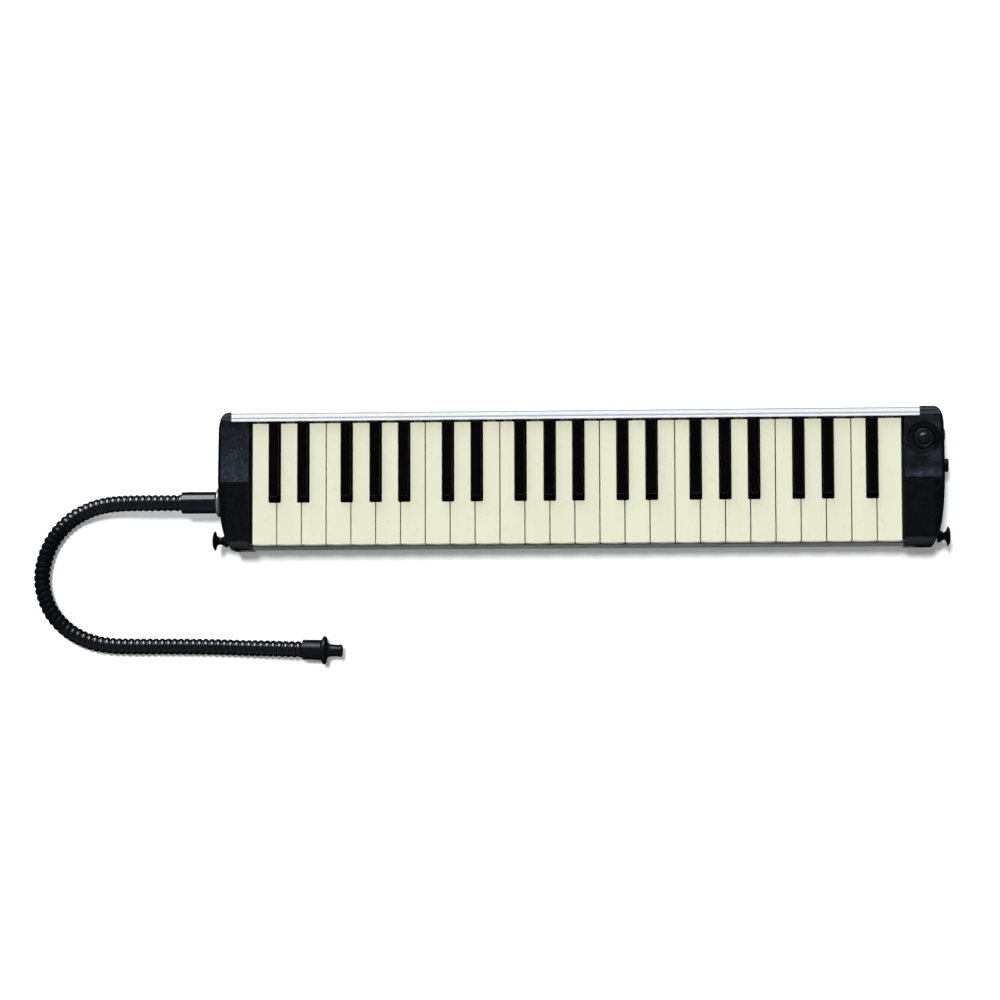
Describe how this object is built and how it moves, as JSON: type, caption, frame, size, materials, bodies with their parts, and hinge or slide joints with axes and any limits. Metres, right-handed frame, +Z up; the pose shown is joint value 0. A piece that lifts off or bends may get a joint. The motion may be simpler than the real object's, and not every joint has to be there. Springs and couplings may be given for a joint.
{
  "type": "melodica",
  "caption": "Slim melodica: piano-style sprung keys over a reed chamber, aluminium rail, end covers with volume knob and drain button, strap buttons, and a ribbed blowing hose with mouthpiece.",
  "frame": {"origin": "on the surface it rests on, under the centre of the box of the instrument without its hose, connector and mouthpiece", "axes": "+X along the keyboard from the low notes to the high notes, +Y from the key lips to the rail, +Z up"},
  "size_m": [0.7439, 0.2024, 0.05],
  "materials": {
    "white_keys": "warm ivory, softly polished",
    "black_keys": "black, satin top with polished edges",
    "case_plastic": "dark grey, fine moulded grain",
    "cover_plastic": "blue black, leather-like grain on top, smooth edges",
    "rail_aluminium": "bright brushed lengthwise",
    "steel_rod": "drawn",
    "spring_steel": "rolled",
    "inner_plastic": "plain moulded",
    "reed_brass": "rolled",
    "nickel_plate": "bright plated",
    "gloss_black_plastic": "polished blue black",
    "hose_plastic": "glossy ribbed, black",
    "knob_plastic": "satin black",
    "strap_button_black": "black lacquered, glossy"
  },
  "bodies": {
    "case": {"lower_case": "case_plastic", "left_end_cover": "cover_plastic", "right_end_cover": "cover_plastic", "top_rail": "rail_aluminium", "key_pivot_rod": "steel_rod", "key_springs": "spring_steel", "reed_chamber": "inner_plastic", "reed_plate": "reed_brass", "inlet_collar": "nickel_plate", "hose_connector": "gloss_black_plastic", "hose": "hose_plastic", "mouthpiece": "gloss_black_plastic", "strap_button_left": "strap_button_black", "strap_button_right": "strap_button_black"},
    "volume_knob": {"volume_knob": "knob_plastic"},
    "drain_button": {"drain_button": "knob_plastic"},
    "white_key_01_c3": {"white_key_01_c3": "white_keys"},
    "black_key_01_c_sharp3": {"black_key_01_c_sharp3": "black_keys"},
    "white_key_02_d3": {"white_key_02_d3": "white_keys"},
    "black_key_02_d_sharp3": {"black_key_02_d_sharp3": "black_keys"},
    "white_key_03_e3": {"white_key_03_e3": "white_keys"},
    "white_key_04_f3": {"white_key_04_f3": "white_keys"},
    "black_key_03_f_sharp3": {"black_key_03_f_sharp3": "black_keys"},
    "white_key_05_g3": {"white_key_05_g3": "white_keys"},
    "black_key_04_g_sharp3": {"black_key_04_g_sharp3": "black_keys"},
    "white_key_06_a3": {"white_key_06_a3": "white_keys"},
    "black_key_05_a_sharp3": {"black_key_05_a_sharp3": "black_keys"},
    "white_key_07_b3": {"white_key_07_b3": "white_keys"},
    "white_key_08_c4": {"white_key_08_c4": "white_keys"},
    "black_key_06_c_sharp4": {"black_key_06_c_sharp4": "black_keys"},
    "white_key_09_d4": {"white_key_09_d4": "white_keys"},
    "black_key_07_d_sharp4": {"black_key_07_d_sharp4": "black_keys"},
    "white_key_10_e4": {"white_key_10_e4": "white_keys"},
    "white_key_11_f4": {"white_key_11_f4": "white_keys"},
    "black_key_08_f_sharp4": {"black_key_08_f_sharp4": "black_keys"},
    "white_key_12_g4": {"white_key_12_g4": "white_keys"},
    "black_key_09_g_sharp4": {"black_key_09_g_sharp4": "black_keys"},
    "white_key_13_a4": {"white_key_13_a4": "white_keys"},
    "black_key_10_a_sharp4": {"black_key_10_a_sharp4": "black_keys"},
    "white_key_14_b4": {"white_key_14_b4": "white_keys"},
    "white_key_15_c5": {"white_key_15_c5": "white_keys"},
    "black_key_11_c_sharp5": {"black_key_11_c_sharp5": "black_keys"},
    "white_key_16_d5": {"white_key_16_d5": "white_keys"},
    "black_key_12_d_sharp5": {"black_key_12_d_sharp5": "black_keys"},
    "white_key_17_e5": {"white_key_17_e5": "white_keys"},
    "white_key_18_f5": {"white_key_18_f5": "white_keys"},
    "black_key_13_f_sharp5": {"black_key_13_f_sharp5": "black_keys"},
    "white_key_19_g5": {"white_key_19_g5": "white_keys"},
    "black_key_14_g_sharp5": {"black_key_14_g_sharp5": "black_keys"},
    "white_key_20_a5": {"white_key_20_a5": "white_keys"},
    "black_key_15_a_sharp5": {"black_key_15_a_sharp5": "black_keys"},
    "white_key_21_b5": {"white_key_21_b5": "white_keys"},
    "white_key_22_c6": {"white_key_22_c6": "white_keys"},
    "black_key_16_c_sharp6": {"black_key_16_c_sharp6": "black_keys"},
    "white_key_23_d6": {"white_key_23_d6": "white_keys"},
    "black_key_17_d_sharp6": {"black_key_17_d_sharp6": "black_keys"},
    "white_key_24_e6": {"white_key_24_e6": "white_keys"},
    "white_key_25_f6": {"white_key_25_f6": "white_keys"},
    "black_key_18_f_sharp6": {"black_key_18_f_sharp6": "black_keys"},
    "white_key_26_g6": {"white_key_26_g6": "white_keys"}
  },
  "joints": [
    {"name": "volume_knob_turn", "type": "hinge", "parent": "case", "child": "volume_knob", "pos_m": [0.2753, 0.0292, 0.0465], "axis": [0, 0, 1], "range_deg": [-150, 150]},
    {"name": "drain_button_press", "type": "slide", "parent": "case", "child": "drain_button", "axis": [-1, 0, 0], "range_m": [0, 0.0025], "stiffness_N_per_m": 350, "springref_m": -0.004},
    {"name": "white_key_01_c3_press", "type": "hinge", "parent": "case", "child": "white_key_01_c3", "pos_m": [-0.25215, 0.028, 0.0365], "axis": [1, 0, 0], "range_deg": [0, 3.6], "stiffness_Nm_per_rad": 0.3, "springref_deg": -8.59},
    {"name": "black_key_01_c_sharp3_press", "type": "hinge", "parent": "case", "child": "black_key_01_c_sharp3", "pos_m": [-0.24385, 0.028, 0.0365], "axis": [1, 0, 0], "range_deg": [0, 3.6], "stiffness_Nm_per_rad": 0.3, "springref_deg": -8.59},
    {"name": "white_key_02_d3_press", "type": "hinge", "parent": "case", "child": "white_key_02_d3", "pos_m": [-0.23215, 0.028, 0.0365], "axis": [1, 0, 0], "range_deg": [0, 3.6], "stiffness_Nm_per_rad": 0.3, "springref_deg": -8.59},
    {"name": "black_key_02_d_sharp3_press", "type": "hinge", "parent": "case", "child": "black_key_02_d_sharp3", "pos_m": [-0.22065, 0.028, 0.0365], "axis": [1, 0, 0], "range_deg": [0, 3.6], "stiffness_Nm_per_rad": 0.3, "springref_deg": -8.59},
    {"name": "white_key_03_e3_press", "type": "hinge", "parent": "case", "child": "white_key_03_e3", "pos_m": [-0.21215, 0.028, 0.0365], "axis": [1, 0, 0], "range_deg": [0, 3.6], "stiffness_Nm_per_rad": 0.3, "springref_deg": -8.59},
    {"name": "white_key_04_f3_press", "type": "hinge", "parent": "case", "child": "white_key_04_f3", "pos_m": [-0.19215, 0.028, 0.0365], "axis": [1, 0, 0], "range_deg": [0, 3.6], "stiffness_Nm_per_rad": 0.3, "springref_deg": -8.59},
    {"name": "black_key_03_f_sharp3_press", "type": "hinge", "parent": "case", "child": "black_key_03_f_sharp3", "pos_m": [-0.18555, 0.028, 0.0365], "axis": [1, 0, 0], "range_deg": [0, 3.6], "stiffness_Nm_per_rad": 0.3, "springref_deg": -8.59},
    {"name": "white_key_05_g3_press", "type": "hinge", "parent": "case", "child": "white_key_05_g3", "pos_m": [-0.17215, 0.028, 0.0365], "axis": [1, 0, 0], "range_deg": [0, 3.6], "stiffness_Nm_per_rad": 0.3, "springref_deg": -8.59},
    {"name": "black_key_04_g_sharp3_press", "type": "hinge", "parent": "case", "child": "black_key_04_g_sharp3", "pos_m": [-0.16215, 0.028, 0.0365], "axis": [1, 0, 0], "range_deg": [0, 3.6], "stiffness_Nm_per_rad": 0.3, "springref_deg": -8.59},
    {"name": "white_key_06_a3_press", "type": "hinge", "parent": "case", "child": "white_key_06_a3", "pos_m": [-0.15215, 0.028, 0.0365], "axis": [1, 0, 0], "range_deg": [0, 3.6], "stiffness_Nm_per_rad": 0.3, "springref_deg": -8.59},
    {"name": "black_key_05_a_sharp3_press", "type": "hinge", "parent": "case", "child": "black_key_05_a_sharp3", "pos_m": [-0.13915, 0.028, 0.0365], "axis": [1, 0, 0], "range_deg": [0, 3.6], "stiffness_Nm_per_rad": 0.3, "springref_deg": -8.59},
    {"name": "white_key_07_b3_press", "type": "hinge", "parent": "case", "child": "white_key_07_b3", "pos_m": [-0.13215, 0.028, 0.0365], "axis": [1, 0, 0], "range_deg": [0, 3.6], "stiffness_Nm_per_rad": 0.3, "springref_deg": -8.59},
    {"name": "white_key_08_c4_press", "type": "hinge", "parent": "case", "child": "white_key_08_c4", "pos_m": [-0.11215, 0.028, 0.0365], "axis": [1, 0, 0], "range_deg": [0, 3.6], "stiffness_Nm_per_rad": 0.3, "springref_deg": -8.59},
    {"name": "black_key_06_c_sharp4_press", "type": "hinge", "parent": "case", "child": "black_key_06_c_sharp4", "pos_m": [-0.10385, 0.028, 0.0365], "axis": [1, 0, 0], "range_deg": [0, 3.6], "stiffness_Nm_per_rad": 0.3, "springref_deg": -8.59},
    {"name": "white_key_09_d4_press", "type": "hinge", "parent": "case", "child": "white_key_09_d4", "pos_m": [-0.09215, 0.028, 0.0365], "axis": [1, 0, 0], "range_deg": [0, 3.6], "stiffness_Nm_per_rad": 0.3, "springref_deg": -8.59},
    {"name": "black_key_07_d_sharp4_press", "type": "hinge", "parent": "case", "child": "black_key_07_d_sharp4", "pos_m": [-0.08065, 0.028, 0.0365], "axis": [1, 0, 0], "range_deg": [0, 3.6], "stiffness_Nm_per_rad": 0.3, "springref_deg": -8.59},
    {"name": "white_key_10_e4_press", "type": "hinge", "parent": "case", "child": "white_key_10_e4", "pos_m": [-0.07215, 0.028, 0.0365], "axis": [1, 0, 0], "range_deg": [0, 3.6], "stiffness_Nm_per_rad": 0.3, "springref_deg": -8.59},
    {"name": "white_key_11_f4_press", "type": "hinge", "parent": "case", "child": "white_key_11_f4", "pos_m": [-0.05215, 0.028, 0.0365], "axis": [1, 0, 0], "range_deg": [0, 3.6], "stiffness_Nm_per_rad": 0.3, "springref_deg": -8.59},
    {"name": "black_key_08_f_sharp4_press", "type": "hinge", "parent": "case", "child": "black_key_08_f_sharp4", "pos_m": [-0.04555, 0.028, 0.0365], "axis": [1, 0, 0], "range_deg": [0, 3.6], "stiffness_Nm_per_rad": 0.3, "springref_deg": -8.59},
    {"name": "white_key_12_g4_press", "type": "hinge", "parent": "case", "child": "white_key_12_g4", "pos_m": [-0.03215, 0.028, 0.0365], "axis": [1, 0, 0], "range_deg": [0, 3.6], "stiffness_Nm_per_rad": 0.3, "springref_deg": -8.59},
    {"name": "black_key_09_g_sharp4_press", "type": "hinge", "parent": "case", "child": "black_key_09_g_sharp4", "pos_m": [-0.02215, 0.028, 0.0365], "axis": [1, 0, 0], "range_deg": [0, 3.6], "stiffness_Nm_per_rad": 0.3, "springref_deg": -8.59},
    {"name": "white_key_13_a4_press", "type": "hinge", "parent": "case", "child": "white_key_13_a4", "pos_m": [-0.01215, 0.028, 0.0365], "axis": [1, 0, 0], "range_deg": [0, 3.6], "stiffness_Nm_per_rad": 0.3, "springref_deg": -8.59},
    {"name": "black_key_10_a_sharp4_press", "type": "hinge", "parent": "case", "child": "black_key_10_a_sharp4", "pos_m": [0.00085, 0.028, 0.0365], "axis": [1, 0, 0], "range_deg": [0, 3.6], "stiffness_Nm_per_rad": 0.3, "springref_deg": -8.59},
    {"name": "white_key_14_b4_press", "type": "hinge", "parent": "case", "child": "white_key_14_b4", "pos_m": [0.00785, 0.028, 0.0365], "axis": [1, 0, 0], "range_deg": [0, 3.6], "stiffness_Nm_per_rad": 0.3, "springref_deg": -8.59},
    {"name": "white_key_15_c5_press", "type": "hinge", "parent": "case", "child": "white_key_15_c5", "pos_m": [0.02785, 0.028, 0.0365], "axis": [1, 0, 0], "range_deg": [0, 3.6], "stiffness_Nm_per_rad": 0.3, "springref_deg": -8.59},
    {"name": "black_key_11_c_sharp5_press", "type": "hinge", "parent": "case", "child": "black_key_11_c_sharp5", "pos_m": [0.03615, 0.028, 0.0365], "axis": [1, 0, 0], "range_deg": [0, 3.6], "stiffness_Nm_per_rad": 0.3, "springref_deg": -8.59},
    {"name": "white_key_16_d5_press", "type": "hinge", "parent": "case", "child": "white_key_16_d5", "pos_m": [0.04785, 0.028, 0.0365], "axis": [1, 0, 0], "range_deg": [0, 3.6], "stiffness_Nm_per_rad": 0.3, "springref_deg": -8.59},
    {"name": "black_key_12_d_sharp5_press", "type": "hinge", "parent": "case", "child": "black_key_12_d_sharp5", "pos_m": [0.05935, 0.028, 0.0365], "axis": [1, 0, 0], "range_deg": [0, 3.6], "stiffness_Nm_per_rad": 0.3, "springref_deg": -8.59},
    {"name": "white_key_17_e5_press", "type": "hinge", "parent": "case", "child": "white_key_17_e5", "pos_m": [0.06785, 0.028, 0.0365], "axis": [1, 0, 0], "range_deg": [0, 3.6], "stiffness_Nm_per_rad": 0.3, "springref_deg": -8.59},
    {"name": "white_key_18_f5_press", "type": "hinge", "parent": "case", "child": "white_key_18_f5", "pos_m": [0.08785, 0.028, 0.0365], "axis": [1, 0, 0], "range_deg": [0, 3.6], "stiffness_Nm_per_rad": 0.3, "springref_deg": -8.59},
    {"name": "black_key_13_f_sharp5_press", "type": "hinge", "parent": "case", "child": "black_key_13_f_sharp5", "pos_m": [0.09445, 0.028, 0.0365], "axis": [1, 0, 0], "range_deg": [0, 3.6], "stiffness_Nm_per_rad": 0.3, "springref_deg": -8.59},
    {"name": "white_key_19_g5_press", "type": "hinge", "parent": "case", "child": "white_key_19_g5", "pos_m": [0.10785, 0.028, 0.0365], "axis": [1, 0, 0], "range_deg": [0, 3.6], "stiffness_Nm_per_rad": 0.3, "springref_deg": -8.59},
    {"name": "black_key_14_g_sharp5_press", "type": "hinge", "parent": "case", "child": "black_key_14_g_sharp5", "pos_m": [0.11785, 0.028, 0.0365], "axis": [1, 0, 0], "range_deg": [0, 3.6], "stiffness_Nm_per_rad": 0.3, "springref_deg": -8.59},
    {"name": "white_key_20_a5_press", "type": "hinge", "parent": "case", "child": "white_key_20_a5", "pos_m": [0.12785, 0.028, 0.0365], "axis": [1, 0, 0], "range_deg": [0, 3.6], "stiffness_Nm_per_rad": 0.3, "springref_deg": -8.59},
    {"name": "black_key_15_a_sharp5_press", "type": "hinge", "parent": "case", "child": "black_key_15_a_sharp5", "pos_m": [0.14085, 0.028, 0.0365], "axis": [1, 0, 0], "range_deg": [0, 3.6], "stiffness_Nm_per_rad": 0.3, "springref_deg": -8.59},
    {"name": "white_key_21_b5_press", "type": "hinge", "parent": "case", "child": "white_key_21_b5", "pos_m": [0.14785, 0.028, 0.0365], "axis": [1, 0, 0], "range_deg": [0, 3.6], "stiffness_Nm_per_rad": 0.3, "springref_deg": -8.59},
    {"name": "white_key_22_c6_press", "type": "hinge", "parent": "case", "child": "white_key_22_c6", "pos_m": [0.16785, 0.028, 0.0365], "axis": [1, 0, 0], "range_deg": [0, 3.6], "stiffness_Nm_per_rad": 0.3, "springref_deg": -8.59},
    {"name": "black_key_16_c_sharp6_press", "type": "hinge", "parent": "case", "child": "black_key_16_c_sharp6", "pos_m": [0.17615, 0.028, 0.0365], "axis": [1, 0, 0], "range_deg": [0, 3.6], "stiffness_Nm_per_rad": 0.3, "springref_deg": -8.59},
    {"name": "white_key_23_d6_press", "type": "hinge", "parent": "case", "child": "white_key_23_d6", "pos_m": [0.18785, 0.028, 0.0365], "axis": [1, 0, 0], "range_deg": [0, 3.6], "stiffness_Nm_per_rad": 0.3, "springref_deg": -8.59},
    {"name": "black_key_17_d_sharp6_press", "type": "hinge", "parent": "case", "child": "black_key_17_d_sharp6", "pos_m": [0.19935, 0.028, 0.0365], "axis": [1, 0, 0], "range_deg": [0, 3.6], "stiffness_Nm_per_rad": 0.3, "springref_deg": -8.59},
    {"name": "white_key_24_e6_press", "type": "hinge", "parent": "case", "child": "white_key_24_e6", "pos_m": [0.20785, 0.028, 0.0365], "axis": [1, 0, 0], "range_deg": [0, 3.6], "stiffness_Nm_per_rad": 0.3, "springref_deg": -8.59},
    {"name": "white_key_25_f6_press", "type": "hinge", "parent": "case", "child": "white_key_25_f6", "pos_m": [0.22785, 0.028, 0.0365], "axis": [1, 0, 0], "range_deg": [0, 3.6], "stiffness_Nm_per_rad": 0.3, "springref_deg": -8.59},
    {"name": "black_key_18_f_sharp6_press", "type": "hinge", "parent": "case", "child": "black_key_18_f_sharp6", "pos_m": [0.23445, 0.028, 0.0365], "axis": [1, 0, 0], "range_deg": [0, 3.6], "stiffness_Nm_per_rad": 0.3, "springref_deg": -8.59},
    {"name": "white_key_26_g6_press", "type": "hinge", "parent": "case", "child": "white_key_26_g6", "pos_m": [0.24785, 0.028, 0.0365], "axis": [1, 0, 0], "range_deg": [0, 3.6], "stiffness_Nm_per_rad": 0.3, "springref_deg": -8.59}
  ]
}
